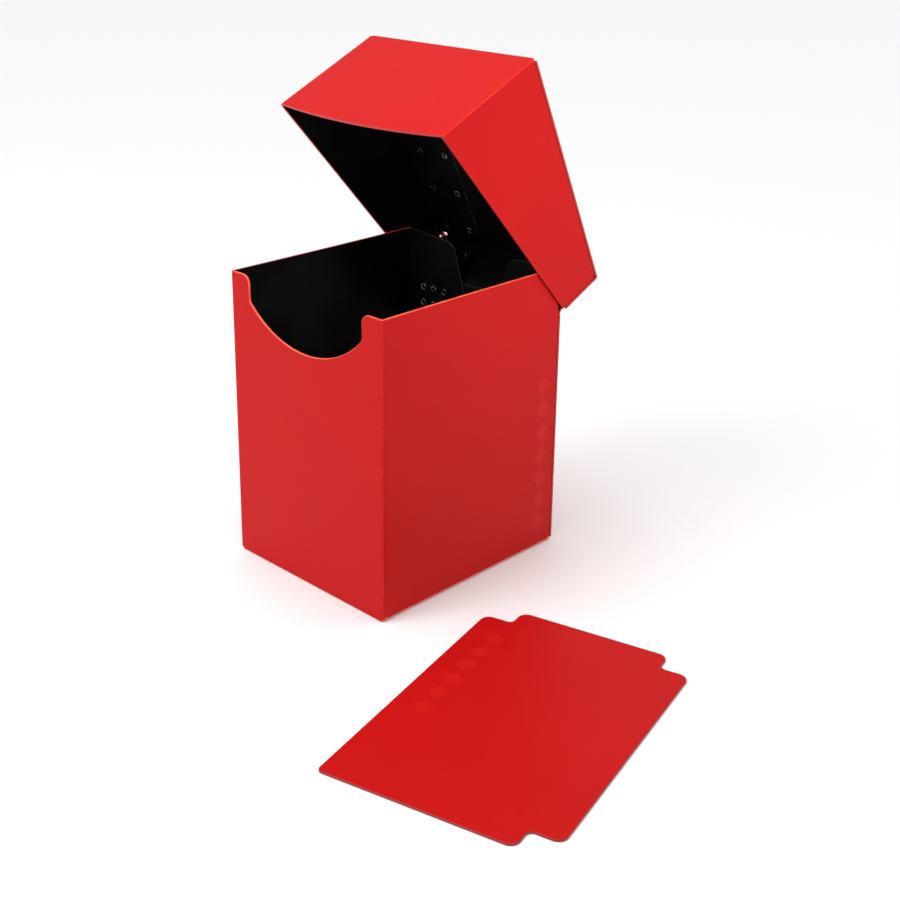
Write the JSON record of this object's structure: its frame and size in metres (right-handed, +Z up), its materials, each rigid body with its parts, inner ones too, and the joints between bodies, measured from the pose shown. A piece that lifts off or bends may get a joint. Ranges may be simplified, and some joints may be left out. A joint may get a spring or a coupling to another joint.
{
  "type": "card deck box",
  "caption": "Folding plastic deck box with a hinged flip lid and thumb notch, standing open, with a loose tabbed deck divider lying beside it.",
  "frame": {"origin": "under the middle of the body, on the surface it stands on", "axes": "+X to the right seen from the front, +Y from the front to the back, +Z up"},
  "size_m": [0.1746, 0.1594, 0.1661],
  "materials": {
    "red_sheet": "fine matte polypropylene sheet",
    "black_sheet": "satin black inner ply",
    "weld_rims": "smooth raised weld rims"
  },
  "bodies": {
    "box": {"front_panel": "red_sheet", "left_side_panel": "red_sheet", "right_side_panel": "red_sheet", "back_panel": "red_sheet", "bottom_panel": "red_sheet", "left_rear_flap": "black_sheet", "right_rear_flap": "black_sheet", "left_bottom_flap": "black_sheet", "right_bottom_flap": "black_sheet", "body_inner_ply": "black_sheet", "rear_weld_spots": "weld_rims", "bottom_weld_spots": "weld_rims", "living_hinge": "red_sheet"},
    "lid": {"lid_back_strip": "red_sheet", "lid_top_panel": "red_sheet", "lid_front_flap": "red_sheet", "lid_left_side": "red_sheet", "lid_right_side": "red_sheet", "lid_left_top_tab": "black_sheet", "lid_right_top_tab": "black_sheet", "lid_left_rear_tab": "black_sheet", "lid_right_rear_tab": "black_sheet", "lid_inner_ply": "black_sheet", "lid_weld_spots": "weld_rims"},
    "divider": {"deck_divider": "red_sheet"}
  },
  "joints": [
    {"name": "lid_hinge", "type": "hinge", "parent": "box", "child": "lid", "pos_m": [0, 0.0407, 0.0835], "axis": [-1, 0, 0], "range_deg": [-65, 110]},
    {"name": "divider_lift", "type": "slide", "parent": "box", "child": "divider", "axis": [0, 0, 1], "range_m": [0, 0.1]}
  ]
}
